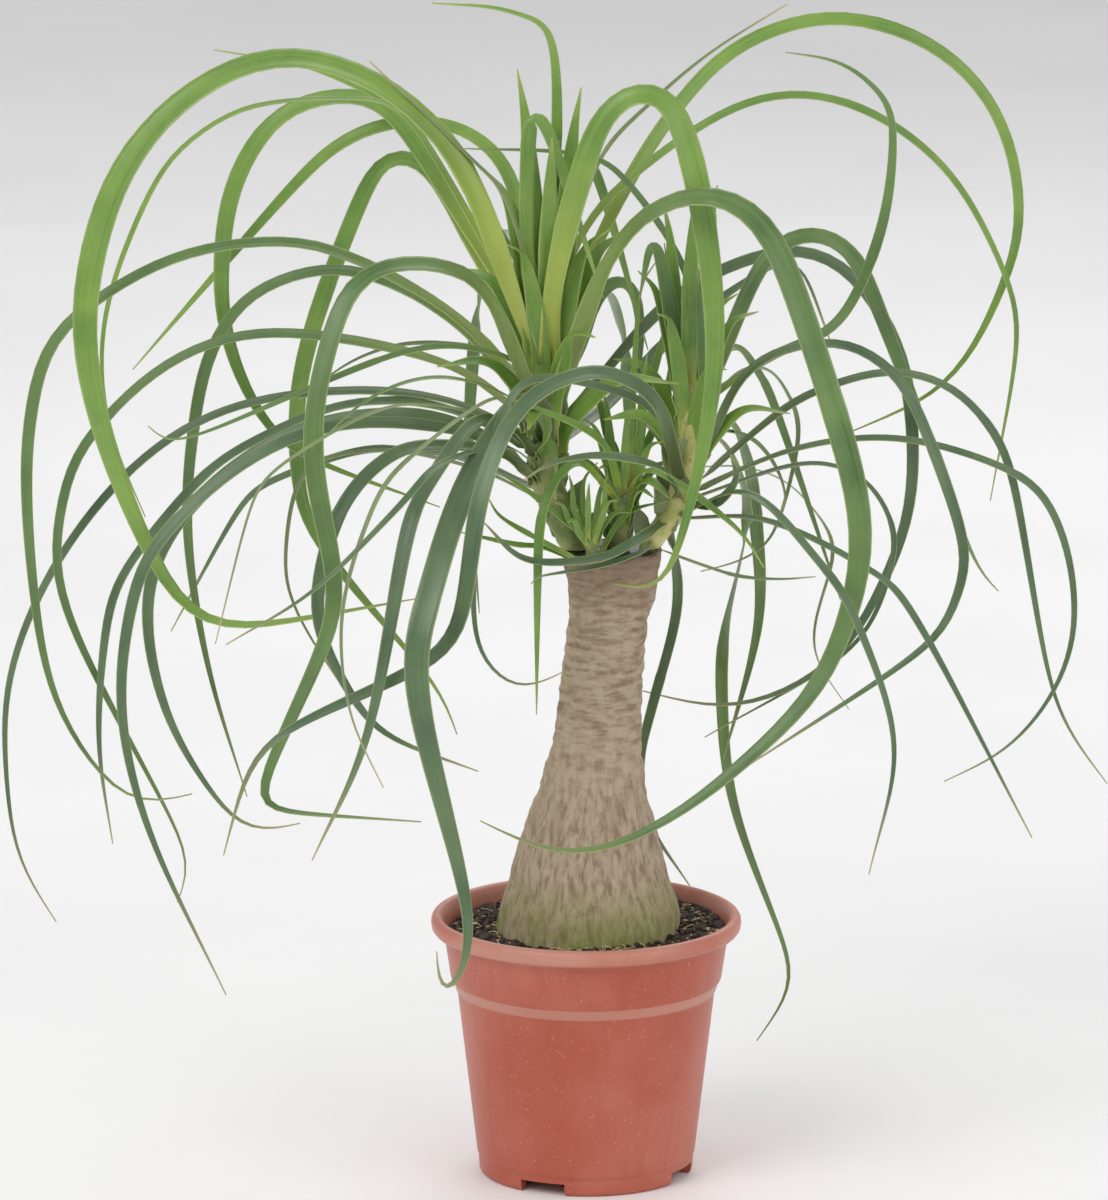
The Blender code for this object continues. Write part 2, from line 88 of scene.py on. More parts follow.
# Leaves that stand for a CAD node each, in the order of their numbers on each shoot.
MAIN_LEAVES: tuple[Leaf, ...] = (
    Leaf("tall", 453, 14.5, ((-69, -21, 567), (-118, -30, 614), (-170, -35, 626), (-220, -39, 600),
        (-239, -40, 578), (-256, -40, 549), (-270, -46, 482), (-257, -51, 414), (-228, -58, 345),
        (-213, -60, 325), (-192, -62, 318), (-92, -70, 337))),
    Leaf("tall", 459, 9.7, ((-68, 47, 524), (-107, 73, 579), (-129, 79, 585), (-167, 86, 574),
        (-194, 90, 531), (-201, 98, 473), (-196, 103, 438), (-184, 107, 408), (-161, 113, 379),
        (-81, 125, 345))),
    Leaf("tall", 453, 9.7, ((-50, 36, 488), (-85, 79, 546), (-102, 87, 550), (-116, 93, 541),
        (-155, 112, 434), (-160, 123, 364), (-148, 129, 323), (-83, 146, 237), (-72, 150, 209))),
    Leaf("tall", 462, 3.8, ((-95, 16, 583), (-122, 18, 593), (-179, 20, 590), (-206, 21, 576),
        (-231, 24, 551), (-261, 31, 475), (-261, 35, 413), (-241, 40, 358))),
    Leaf("tall", 464, 7.5, ((-38, 53, 534), (-51, 66, 557), (-73, 74, 569), (-103, 79, 570), (-132, 83, 559),
        (-162, 94, 530), (-251, 130, 422))),
    Leaf("tall", 470, 5.4, ((-17, 11, 615), (-39, 13, 641), (-83, 15, 646))),
    Leaf("tall", 453, 12.9, ((-18, -14, 497), (3, -33, 580), (17, -38, 603), (32, -40, 609), (46, -42, 601),
        (62, -45, 541), (68, -47, 452), (46, -49, 349), (31, -50, 336), (14, -50, 341))),
    Leaf("tall", 464, 4.8, ((-12, 16, 497), (11, 33, 536), (83, 54, 584), (140, 60, 585), (196, 71, 546),
        (231, 85, 481), (237, 92, 443), (224, 110, 352))),
    Leaf("tall", 462, 7.5, ((26, 51, 548), (67, 74, 601), (95, 82, 618), (127, 87, 627), (160, 90, 623),
        (190, 93, 610), (216, 100, 586), (232, 107, 555), (239, 114, 517), (235, 121, 483), (202, 136, 414),
        (142, 150, 380))),
    Leaf("tall", 431, 12.9, ((7, -34, 504), (26, -49, 538), (47, -58, 554), (68, -65, 558), (86, -71, 551),
        (101, -78, 531), (135, -94, 432), (147, -98, 370), (130, -103, 308), (106, -106, 276),
        (47, -111, 227), (-9, -116, 206), (-57, -120, 227))),
    Leaf("tall", 429, 10.2, ((-53, -47, 498), (-73, -62, 517), (-114, -82, 520), (-131, -93, 500),
        (-146, -109, 432), (-134, -117, 361), (-136, -121, 332), (-175, -136, 245), (-166, -138, 237),
        (-88, -150, 234))),
    Leaf("tall", 434, 7.0, ((-71, -7, 480), (-130, -13, 514), (-159, -15, 522), (-221, -19, 514),
        (-280, -20, 478), (-295, -19, 451), (-303, -14, 385), (-292, -7, 275), (-260, -3, 217),
        (-241, -2, 205), (-215, 0, 212))),
    Leaf("tall", 423, 6.5, ((-74, 43, 469), (-132, 68, 491), (-181, 81, 476), (-200, 84, 454),
        (-212, 88, 422), (-221, 108, 341), (-211, 130, 254), (-190, 150, 173))),
    Leaf("tall", 418, 5.4, ((-74, 17, 448), (-169, 36, 462), (-227, 43, 444), (-272, 45, 401),
        (-285, 49, 372), (-287, 57, 305), (-224, 75, 167), (-220, 78, 143), (-227, 80, 130))),
    Leaf("tall", 440, 3.2, ((-44, -23, 460), (-97, -54, 469), (-211, -92, 430), (-233, -100, 438))),
    Leaf("tall", 409, 4.8, ((-74, 23, 427), (-137, 42, 428), (-200, 55, 414), (-250, 60, 380),
        (-294, 71, 321), (-320, 84, 253), (-321, 96, 182), (-314, 103, 144), (-296, 110, 111))),
    Leaf("tall", 404, 6.5, ((-77, 21, 423), (-131, 35, 422), (-186, 43, 397), (-211, 45, 378),
        (-251, 52, 328), (-263, 55, 297), (-269, 63, 227), (-262, 70, 166))),
    Leaf("tall", 394, 7.0, ((-74, 0, 421), (-136, 0, 421), (-188, 0, 397), (-227, -1, 356), (-239, -3, 313),
        (-227, -5, 254), (-195, -8, 202), (-177, -9, 193), (-156, -10, 198))),
    Leaf("tall", 386, 6.5, ((-47, -17, 410), (-74, -29, 422), (-132, -51, 429), (-183, -65, 411),
        (-228, -72, 371), (-242, -74, 343), (-250, -80, 281), (-235, -86, 212), (-194, -95, 124))),
    Leaf("tall", 379, 4.8, ((-69, 93, 380), (-97, 125, 377), (-126, 145, 373), (-174, 160, 353),
        (-193, 169, 336), (-234, 200, 257))),
    Leaf("tall", 388, 7.5, ((-47, -26, 408), (-89, -60, 419), (-108, -72, 414), (-125, -82, 399),
        (-137, -89, 376), (-144, -91, 330), (-124, -93, 286), (-105, -93, 266), (-58, -95, 248))),
    Leaf("tall", 401, 8.1, ((-44, -45, 427), (-60, -69, 434), (-84, -119, 410), (-95, -140, 388),
        (-116, -170, 286), (-145, -190, 223))),
    Leaf("tall", 409, 12.9, ((-22, -30, 435), (-35, -48, 441), (-63, -110, 410), (-82, -156, 362),
        (-90, -170, 311), (-63, -158, 185), (-70, -154, 144), (-79, -153, 138), (-80, -150, 163))),
    Leaf("tall", 409, 7.0, ((46, 68, 473), (104, 98, 495), (132, 107, 491), (154, 114, 471), (170, 119, 442),
        (179, 119, 413), (179, 102, 346), (150, 84, 283), (127, 75, 261), (99, 67, 249), (71, 60, 246),
        (31, 50, 258))),
    Leaf("tall", 401, 6.5, ((10, 69, 413), (35, 113, 431), (60, 130, 451), (102, 143, 477), (119, 147, 476),
        (137, 160, 430))),
    Leaf("right", 387, 9.1, ((39, -48, 438), (22, -68, 456), (2, -85, 465), (-35, -113, 452),
        (-56, -135, 410), (-65, -143, 352), (-78, -148, 324), (-157, -162, 288), (-178, -167, 269),
        (-192, -175, 222))),
    Leaf("right", 365, 5.9, ((23, -44, 361), (4, -58, 356), (-33, -67, 358), (-56, -75, 381))),
    Leaf("right", 404, 8.1, ((66, 27, 429), (91, 69, 484), (106, 79, 503), (124, 85, 508), (140, 88, 501),
        (155, 90, 478), (214, 124, 320), (230, 130, 296))),
    Leaf("right", 391, 5.9, ((87, -12, 451), (132, -21, 468), (156, -25, 459), (175, -28, 438),
        (204, -33, 358), (199, -36, 330), (183, -39, 303), (84, -50, 238))),
    Leaf("right", 384, 4.3, ((108, 26, 422), (135, 35, 433), (165, 43, 439), (196, 47, 431), (218, 50, 410),
        (233, 53, 379), (254, 69, 268), (267, 75, 230), (289, 80, 198))),
    Leaf("right", 381, 3.8, ((113, -2, 405), (172, -4, 411), (235, -5, 391), (254, -3, 368), (264, 2, 334),
        (265, 6, 297), (253, 10, 263), (229, 15, 233), (196, 20, 214))),
    Leaf("right", 366, 3.8, ((96, -22, 370), (150, -42, 348), (177, -46, 321), (239, -90, 210))),
    Leaf("right", 368, 4.3, ((87, -55, 392), (124, -110, 365), (142, -124, 339), (163, -144, 274),
        (149, -165, 209))),
    Leaf("right", 420, 7.0, ((77, 31, 414), (89, 70, 381), (94, 100, 343), (96, 113, 281), (77, 120, 202))),
    Leaf("right", 415, 6.5, ((74, 25, 404), (85, 55, 375), (89, 84, 341), (78, 126, 275), (76, 137, 241),
        (83, 142, 170), (115, 147, 79), (114, 148, 58), (97, 150, 31))),
    Leaf("right", 429, 5.4, ((102, 17, 453), (137, 23, 470), (160, 23, 523), (165, 18, 581), (153, 15, 602),
        (134, 13, 615), (107, 10, 620))),
    Leaf("right", 363, 5.4, ((50, 34, 310), (36, 50, 247), (30, 42, 221), (34, 32, 189), (57, 20, 155))),
    Leaf("middle", 376, 4.8, ((-3, -33, 404), (-14, -43, 400), (-22, -54, 387), (-26, -60, 362),
        (-27, -60, 271))),
    Leaf("middle", 379, 3.8, ((32, -16, 396), (50, -28, 391), (71, -37, 377), (85, -49, 366),
        (95, -60, 352))),
    Leaf("middle", 382, 3.8, ((29, 24, 413), (42, 36, 458), (49, 40, 469), (56, 45, 453), (60, 50, 435))),
    Leaf("middle", 379, 4.8, ((7, -36, 417), (-30, -53, 439), (-46, -60, 445))),
    Leaf("front", 360, 3.2, ((-32, -22, 386), (-47, -30, 397))),
)

# Leaves behind the crown, which stand for CAD nodes too.
BACK_LEAVES: dict[str, Leaf] = {
    "leaf_back_1": Leaf("tall", 425, 9.0, ((-30, 60, 480), (-45, 140, 500), (-60, 200, 440), (-66, 225, 350),
        (-60, 232, 260))),
    "leaf_back_2": Leaf("tall", 415, 8.0, ((-8, 50, 455), (10, 120, 470), (22, 180, 420), (26, 200, 340),
        (20, 205, 230))),
}

# Finer leaves that only ride with the plant, in the order of their numbers on each shoot.
FINE_LEAVES: tuple[Leaf, ...] = (
    Leaf("tall", 464, 3.2, ((-41, 22, 510), (-85, 35, 571), (-144, 49, 603), (-202, 60, 613))),
    Leaf("tall", 470, 2.2, ((-42, -14, 541), (-63, -18, 568), (-116, -30, 622))),
    Leaf("tall", 464, 7.5, ((-32, -5, 507), (-27, -9, 591), (9, -25, 492))),
    Leaf("tall", 467, 6.5, ((-22, 5, 513), (-15, 5, 573))),
    Leaf("tall", 470, 2.2, ((-6, 43, 517), (9, 59, 556), (35, 70, 582), (68, 88, 607), (110, 110, 630))),
    Leaf("tall", 464, 5.9, ((-8, 48, 516), (2, 60, 552), (34, 80, 443))),
    Leaf("tall", 440, 2.7, ((-42, 32, 448), (-61, 49, 451), (-85, 60, 451), (-107, 69, 447), (-132, 83, 434),
        (-158, 100, 411))),
    Leaf("tall", 423, 2.7, ((-47, -44, 445), (-68, -65, 456), (-84, -70, 458), (-102, -82, 456),
        (-121, -95, 448), (-138, -110, 435))),
    Leaf("tall", 394, 3.8, ((-44, -55, 417), (-78, -128, 423), (-98, -160, 408), (-143, -181, 367),
        (-189, -200, 342))),
    Leaf("tall", 409, 2.2, ((-41, -56, 443), (-57, -82, 446), (-99, -144, 425), (-113, -158, 406),
        (-129, -172, 354), (-125, -187, 303), (-107, -200, 265))),
    Leaf("tall", 431, 8.1, ((-5, 56, 448), (5, 86, 470), (18, 91, 480), (27, 94, 471), (30, 101, 444),
        (27, 110, 409))),
    Leaf("tall", 373, 2.2, ((-53, 46, 381), (-83, 78, 383), (-114, 99, 383), (-155, 110, 370),
        (-167, 124, 318), (-161, 133, 283), (-131, 150, 228))),
    Leaf("tall", 401, 1.6, ((-52, -49, 431), (-84, -83, 446), (-115, -104, 446), (-165, -122, 419),
        (-178, -131, 400), (-196, -160, 333))),
    Leaf("right", 354, 2.7, ((29, -40, 356), (7, -56, 352), (-25, -68, 349), (-30, -70, 345))),
    Leaf("right", 375, 2.7, ((108, 40, 386), (133, 53, 385), (153, 62, 374), (167, 68, 352), (169, 70, 327),
        (146, 77, 275), (66, 90, 222))),
    Leaf("right", 426, 4.3, ((69, 49, 441), (82, 73, 447), (94, 93, 429), (106, 109, 401), (142, 130, 291))),
    Leaf("right", 393, 2.2, ((87, 71, 379), (113, 119, 359), (134, 148, 329), (139, 152, 312),
        (128, 173, 255), (149, 190, 214))),
    Leaf("right", 415, 2.2, ((81, 46, 436), (98, 61, 437), (110, 73, 421), (117, 80, 395), (104, 70, 344),
        (87, 65, 329), (63, 60, 323))),
    Leaf("right", 409, 2.2, ((75, 31, 408), (92, 48, 399), (104, 47, 384), (109, 43, 368), (105, 40, 359))),
    Leaf("right", 409, 4.3, ((65, 54, 443), (70, 66, 479), (71, 80, 519))),
    Leaf("right", 425, 3.8, ((56, 18, 491), (21, 23, 548), (-6, 25, 562), (-66, 30, 564))),
    Leaf("right", 393, 4.3, ((44, -21, 419), (26, -40, 441), (-22, -68, 458), (-41, -75, 449),
        (-58, -80, 388), (-60, -80, 321), (-48, -80, 297), (-33, -80, 290), (-13, -80, 299))),
    Leaf("right", 409, 8.6, ((50, -4, 449), (37, -8, 519), (28, -10, 488))),
    Leaf("right", 349, 1.6, ((65, 20, 335), (84, 30, 327), (106, 45, 322), (126, 60, 320))),
    Leaf("right", 415, 3.2, ((52, 14, 453), (42, 20, 514))),
    Leaf("right", 409, 4.8, ((56, 5, 447), (55, 5, 506))),
    Leaf("right", 409, 5.4, ((63, -9, 444), (59, -15, 506))),
    Leaf("right", 378, 5.9, ((42, -42, 401), (23, -67, 413), (2, -73, 416), (-20, -80, 413),
        (-34, -85, 405))),
    Leaf("right", 376, 4.8, ((68, -27, 379), (80, -39, 395), (77, -50, 412))),
    Leaf("middle", 384, 2.7, ((28, 0, 484), (37, 0, 507))),
    Leaf("middle", 382, 4.3, ((6, 16, 431), (-1, 20, 441))),
    Leaf("middle", 379, 5.4, ((33, -20, 391), (44, -40, 386))),
    Leaf("middle", 382, 4.3, ((34, 31, 403), (43, 40, 423), (47, 55, 448), (40, 70, 473))),
    Leaf("front", 346, 2.7, ((-2, -5, 384), (6, -5, 398))),
    Leaf("front", 346, 3.2, ((21, -6, 369), (44, -15, 379))),
    Leaf("front", 344, 2.7, ((-33, -17, 362), (-47, -30, 374), (-53, -40, 386))),
    Leaf("front", 346, 3.2, ((7, -3, 380), (14, 0, 393))),
    Leaf("front", 343, 3.2, ((-22, -11, 352), (-39, -16, 355), (-68, -40, 367))),
)

# Stem centre lines of the shoots: across, depth, up, radius.
SHOOTS: dict[str, tuple[tuple[float, float, float, float], ...]] = {
    "tall": ((-6, 0, 349.6, 8.0), (-6, 0, 352, 8.5), (-15, 0, 368, 9.0), (-22, 0, 388, 9.0),
             (-24, 0, 410, 8.5), (-22, 0, 432, 8.0), (-21, 0, 470, 4.0)),
    "right": ((34, 0, 349.6, 5.5), (34, 0, 352, 6.5), (44, 0, 364, 8.0), (52, 0, 380, 8.0),
              (56, 0, 404, 7.5), (56, 0, 431, 6.5), (55, 0, 455, 3.5)),
    "middle": ((17, 4, 349.6, 6.0), (17, 4, 352, 6.0), (19, 2, 366, 6.0), (20, 0, 382, 5.0),
               (20, 0, 392, 3.0)),
    "front": ((3, -17, 349.6, 3.5), (3, -17, 352, 3.5), (1, -18, 358, 3.4), (0, -19, 366, 2.0)),
}

# Trunk sections: centre across, height, radius.
TRUNK_SECTIONS: tuple[Point, ...] = (
    (0.3, 124.0, 51.0), (0.3, 132.0, 51.0), (1.6, 141.0, 50.4), (1.8, 152.0, 47.9), (2.1, 163.0, 43.8),
    (1.5, 175.0, 41.0), (2.1, 186.0, 38.2), (2.6, 197.0, 35.0), (2.9, 208.0, 31.4), (3.7, 220.0, 28.4),
    (4.8, 231.0, 26.2), (5.8, 242.0, 24.5), (7.5, 265.0, 22.9), (9.9, 293.0, 22.0), (11.8, 309.0, 21.7),
    (13.6, 320.0, 23.1), (14.4, 334.0, 25.0), (14.1, 343.0, 26.9), (14.1, 349.0, 26.6),
)


# ---- node helpers and shared effects


class Tree:
    """A thin wrapper that adds and joins shader nodes in one tree."""

    def __init__(self, tree: bpy.types.NodeTree) -> None:
        """Keep the tree."""
        self.tree = tree

    def add(self, kind: str, **values: object) -> Node:
        """Add a node.

        Args:
            kind: the node's class name.
            **values: node attributes, or input values for names that are inputs.

        Returns:
            The new node.
        """
        node = self.tree.nodes.new(kind)
        for name, value in values.items():
            if hasattr(node, name):
                setattr(node, name, value)
            else:
                node.inputs[name.replace("_", " ")].default_value = value
        return node

    def join(self, source: Socket, target: Socket) -> None:
        """Link two sockets."""
        self.tree.links.new(source, target)

    def math(self, operation: str, first: object, second: object = 0.0) -> Socket:
        """The output of a math node whose inputs are sockets or numbers.

        Args:
            operation: the sum to do.
            first: a socket or a number.
            second: a socket or a number.

        Returns:
            The result's socket.
        """
        node = self.add("ShaderNodeMath", operation=operation)
        for index, value in enumerate((first, second)):
            self._feed(node.inputs[index], value)
        return node.outputs[0]

    def mix(self, factor: object, first: object, second: object) -> Socket:
        """The mix of two colours, each a socket or a colour.

        Args:
            factor: how much of the second, as a socket or a number.
            first: a socket or a colour.
            second: a socket or a colour.

        Returns:
            The mixed colour's socket.
        """
        node = self.add("ShaderNodeMix", data_type="RGBA")
        for index, value in ((0, factor), (6, first), (7, second)):
            self._feed(node.inputs[index], value)
        return node.outputs[2]

    def ramp(self, source: Socket, low: float, high: float, top: float = 1.0) -> Socket:
        """Stretch a value into a mask.

        Args:
            source: the value's socket.
            low: the value that gives 0.
            high: the value that gives top, which may be the smaller of the two.
            top: the mask's highest value.

        Returns:
            The mask's socket, clamped between 0 and top.
        """
        node = self.add("ShaderNodeMapRange", From_Min=low, From_Max=high, To_Max=top)
        self.join(source, node.inputs["Value"])
        return node.outputs["Result"]

    def place(self) -> Socket:
        """The piece's own coordinates, in metres."""
        return self.add("ShaderNodeTexCoord").outputs["Object"]

    def axis(self, source: Socket, name: str) -> Socket:
        """One coordinate, X, Y or Z, of a vector.

        Args:
            source: the vector's socket.
            name: X, Y or Z.

        Returns:
            The coordinate's socket.
        """
        node = self.add("ShaderNodeSeparateXYZ")
        self.join(source, node.inputs[0])
        return node.outputs[name]

    def clouds(self, source: Socket, scale: float, detail: float, roughness: float = 0.5) -> Socket:
        """Cloudy noise read at the source's coordinates.

        Args:
            source: where the noise is read.
            scale: how small the clouds are.
            detail: how many finer layers.
            roughness: how strong the finer layers are.

        Returns:
            The noise's socket.
        """
        node = self.add("ShaderNodeTexNoise", Scale=scale, Detail=detail, Roughness=roughness)
        self.join(source, node.inputs["Vector"])
        return node.outputs["Fac"]

    def grain(self, source: Socket, scale: Point) -> bpy.types.NodeOutputs:
        """The Fine and Broad outputs of the shared grain group, read at the source's coordinates.

        Args:
            source: where the grain is read.
            scale: its scale along each axis.

        Returns:
            The group's outputs, Fine and Broad.
        """
        node = self.add("ShaderNodeGroup", node_tree=streak_group())
        self.join(source, node.inputs["Vector"])
        node.inputs["Scale"].default_value = scale
        return node.outputs

    def bump(self, shader: Node, height: Socket, strength: float, depth: float) -> None:
        """Feed a height into the shader's normal.

        Args:
            shader: the shader.
            height: the height's socket.
            strength: how strong the relief is.
            depth: its height, in metres.
        """
        node = self.add("ShaderNodeBump", Strength=strength, Distance=depth)
        self.join(height, node.inputs["Height"])
        self.join(node.outputs["Normal"], shader.inputs["Normal"])

    def _feed(self, socket: Socket, value: object) -> None:
        """Link a socket into another, or set a number or colour on it.

        Args:
            socket: the socket to feed.
            value: a socket, a colour or a number.
        """
        if isinstance(value, Socket):
            self.join(value, socket)
        elif isinstance(value, tuple):
            socket.default_value = (*value, 1.0)
        else:
            socket.default_value = value


def streak_group() -> bpy.types.NodeTree:
    """Grain drawn out along one axis, for leaf veins, bark fibres and moulded plastic.

    Returns:
        A group with Vector and Scale in, and Fine and Broad out.
    """
    group = bpy.data.node_groups.get("drawn_out_grain")
    if group:
        return group
    group = bpy.data.node_groups.new("drawn_out_grain", "ShaderNodeTree")
    for name in ("Vector", "Scale"):
        group.interface.new_socket(name, in_out="INPUT", socket_type="NodeSocketVector")
    for name in ("Fine", "Broad"):
        group.interface.new_socket(name, in_out="OUTPUT", socket_type="NodeSocketFloat")
    tree = Tree(group)
    given = tree.add("NodeGroupInput")
    result = tree.add("NodeGroupOutput")
    scaled = tree.add("ShaderNodeVectorMath", operation="MULTIPLY")
    for index, name in enumerate(("Vector", "Scale")):
        tree.join(given.outputs[name], scaled.inputs[index])
    for name, scale, detail in (("Fine", 1.0, 5.0), ("Broad", 0.22, 3.0)):
        tree.join(tree.clouds(scaled.outputs[0], scale, detail, 0.6), result.inputs[name])
    return group


def new_material(name: str, roughness: float = 0.5) -> tuple[Material, Tree, Node]:
    """Start a material.

    Args:
        name: the material's name.
        roughness: the shader's roughness, where nothing is joined to it later.

    Returns:
        The material, its tree and its Principled shader.
    """
    made = bpy.data.materials.new(name)
    made.use_nodes = True
    shader = made.node_tree.nodes["Principled BSDF"]
    shader.inputs["Roughness"].default_value = roughness
    return made, Tree(made.node_tree), shader


@dataclass(frozen=True)
class BladeFinish:
    """A leaf blade's colours, from its foot to its tip, with fine pale veins along it that are brightened to
    serve also as painted highlights.
    """

    age: Age
    foot: Colour
    blade: Colour
    dark: Colour
    tip: Colour
    edge: Colour = (0.55, 0.62, 0.26)
    vein_scale: Point = (34.0, 5.0, 1.0)
    patch_scale: float = 26.0
    vein_relief: float = 0.0004

    def material(self) -> Material:
        """Build the blade's material.

        Returns:
            The material.
        """
        made, tree, shader = new_material(f"blade_{self.age.value}")
        uv = tree.add("ShaderNodeUVMap", uv_map="blade").outputs["UV"]
        along = tree.axis(uv, "Y")
        veins = tree.grain(uv, self.vein_scale)
        patches = tree.clouds(tree.place(), self.patch_scale, 3.0)
        # pale vein streaks: the real fine veins, made brighter so that they also paint in the blade's
        # highlights
        pale = tuple(min(1.0, channel * 1.55 + 0.03) for channel in self.blade)
        body = tree.mix(tree.ramp(patches, 0.35, 0.68), self.blade, self.dark)
        body = tree.mix(tree.ramp(veins["Fine"], 0.45, 0.75, 0.55), body, pale)
        body = tree.mix(tree.ramp(along, 0.24, 0.02), body, self.foot)
        body = tree.mix(tree.ramp(along, 0.86, 1.0), body, self.tip)
        from_rib = tree.math("ABSOLUTE", tree.math("SUBTRACT", tree.axis(uv, "X"), 0.5))
        body = tree.mix(tree.ramp(from_rib, 0.42, 0.5, 0.45), body, self.edge)
        tree.join(body, shader.inputs["Base Color"])
        rough = tree.math("ADD", tree.ramp(veins["Broad"], 0.2, 0.9, 0.2), 0.27)
        tree.join(rough, shader.inputs["Roughness"])
        shader.inputs["Subsurface Weight"].default_value = 0.12
        shader.inputs["Subsurface Radius"].default_value = (0.004, 0.006, 0.001)
        shader.inputs["Coat Weight"].default_value = 0.22
        shader.inputs["Coat Roughness"].default_value = 0.32
        tree.bump(shader, veins["Fine"], 0.35, self.vein_relief)
        return made


BLADE_FINISHES: tuple[BladeFinish, ...] = (
    BladeFinish(Age.YOUNG, foot=(0.46, 0.52, 0.09), blade=(0.20, 0.34, 0.05), dark=(0.10, 0.22, 0.03),
                tip=(0.34, 0.42, 0.10)),
    BladeFinish(Age.MATURE, foot=(0.28, 0.36, 0.09), blade=(0.125, 0.22, 0.055), dark=(0.06, 0.13, 0.03),
                tip=(0.28, 0.32, 0.12)),
    BladeFinish(Age.OLD, foot=(0.13, 0.18, 0.06), blade=(0.11, 0.18, 0.075), dark=(0.045, 0.10, 0.04),
                tip=(0.40, 0.34, 0.16)),
    BladeFinish(Age.DRY, foot=(0.24, 0.26, 0.10), blade=(0.22, 0.27, 0.12), dark=(0.12, 0.18, 0.06),
                tip=(0.52, 0.38, 0.20)),
)


@dataclass(frozen=True)
class PotFinish:
    """Terracotta-coloured moulded plastic, scuffed and dusty, worn at the lip, with a painted highlight on
    the step's ledge.
    """

    colour: Colour = (0.44, 0.085, 0.045)
    faded: Colour = (0.52, 0.15, 0.10)
    shade: Colour = (0.34, 0.055, 0.035)
    # pale colour used for the real dust specks and the worn lip, and for the painted highlight on the step
    dust_and_highlight: Colour = (0.62, 0.34, 0.26)
    grain_scale: Point = (160.0, 160.0, 12.0)
    lip: tuple[float, float] = (0.1335, 0.137)
    # heights, in metres, of the painted highlight band on the step's ledge
    step_foot: tuple[float, float] = (0.1025, 0.1035)
    step_top: tuple[float, float] = (0.1092, 0.1085)

    def material(self) -> Material:
        """Build the plastic; heights are in metres.

        Returns:
            The material.
        """
        made, tree, shader = new_material("terracotta_plastic")
        place = tree.place()
        height = tree.axis(place, "Z")
        grain = tree.grain(place, self.grain_scale)
        blotch = tree.clouds(place, 14.0, 4.0)
        specks = tree.clouds(place, 620.0, 2.0)
        body = tree.mix(tree.ramp(blotch, 0.4, 0.72), self.colour, self.faded)
        body = tree.mix(tree.ramp(grain["Fine"], 0.5, 0.8, 0.35), body, self.shade)
        body = tree.mix(tree.ramp(specks, 0.66, 0.74, 0.6), body, self.dust_and_highlight)
        worn = tree.math("MULTIPLY", tree.ramp(height, *self.lip), tree.ramp(blotch, 0.3, 0.6, 0.55))
        body = tree.mix(worn, body, self.dust_and_highlight)
        # painted highlight: the step's ledge, from about 102.5 to 109 mm up, is turned half-way to the pale
        # colour
        above = tree.ramp(height, *self.step_foot)
        step_painted_highlight = tree.math("MULTIPLY", above, tree.ramp(height, *self.step_top, 0.5))
        body = tree.mix(step_painted_highlight, body, self.dust_and_highlight)
        tree.join(body, shader.inputs["Base Color"])
        rough = tree.math("ADD", tree.math("MULTIPLY", blotch, 0.22), 0.27)
        tree.join(rough, shader.inputs["Roughness"])
        tree.bump(shader, grain["Fine"], 0.12, 0.0004)
        return made


@dataclass(frozen=True)
class BarkFinish:
    """Corky tan bark: fissures on the swollen foot, scar plates above, moss low down."""

    pale: Colour = (0.52, 0.41, 0.29)
    brown: Colour = (0.30, 0.21, 0.135)
    moss: Colour = (0.21, 0.28, 0.035)
    crown: Colour = (0.20, 0.12, 0.07)
    fibre_scale: Point = (330.0, 330.0, 60.0)
    plate_scale: Point = (90.0, 90.0, 300.0)
    neck: tuple[float, float] = (0.20, 0.26)
    moss_line: tuple[float, float] = (0.172, 0.133)
    crown_line: tuple[float, float] = (0.315, 0.347)
    crack_depth: float = 0.0034

    def material(self) -> Material:
        """Build the bark; heights are in metres.

        Returns:
            The material.
        """
        made, tree, shader = new_material("corky_bark", 0.86)
        place = tree.place()
        height = tree.axis(place, "Z")
        fibres = tree.grain(place, self.fibre_scale)
        plates = tree.grain(place, self.plate_scale)
        blend = tree.add("ShaderNodeMix")
        for index, source in ((0, tree.ramp(height, *self.neck)), (2, fibres["Fine"]), (3, plates["Fine"])):
            tree.join(source, blend.inputs[index])
        cracks = blend.outputs[0]
        body = tree.mix(tree.ramp(cracks, 0.36, 0.56), self.brown, self.pale)
        body = tree.mix(tree.ramp(fibres["Broad"], 0.5, 0.7, 0.4), body, self.brown)
        patch = tree.ramp(tree.clouds(place, 34.0, 5.0), 0.32, 0.52)
        mossy = tree.math("MULTIPLY", tree.ramp(height, *self.moss_line, 0.85), patch)
        body = tree.mix(mossy, body, self.moss)
        body = tree.mix(tree.ramp(height, *self.crown_line, 0.7), body, self.crown)
        tree.join(body, shader.inputs["Base Color"])
        tree.bump(shader, cracks, 1.0, self.crack_depth)
        return made


@dataclass(frozen=True)
class SpeckledFinish:
    """A matt stuff of two mottled colours, for peat, chips, fibres, sealant, sheaths and the floor."""

    name: str
    first: Colour
    second: Colour
    roughness: float = 0.9
    scale: float = 420.0
    relief: float = 0.6

    def material(self) -> Material:
        """Build the mottled material.

        Returns:
            The material.
        """
        made, tree, shader = new_material(self.name, self.roughness)
        spots = tree.clouds(tree.place(), self.scale, 5.0)
        body = tree.mix(tree.ramp(spots, 0.4, 0.62), self.first, self.second)
        tree.join(body, shader.inputs["Base Color"])
        tree.bump(shader, spots, self.relief, 0.0012)
        return made


# ---- mesh helpers


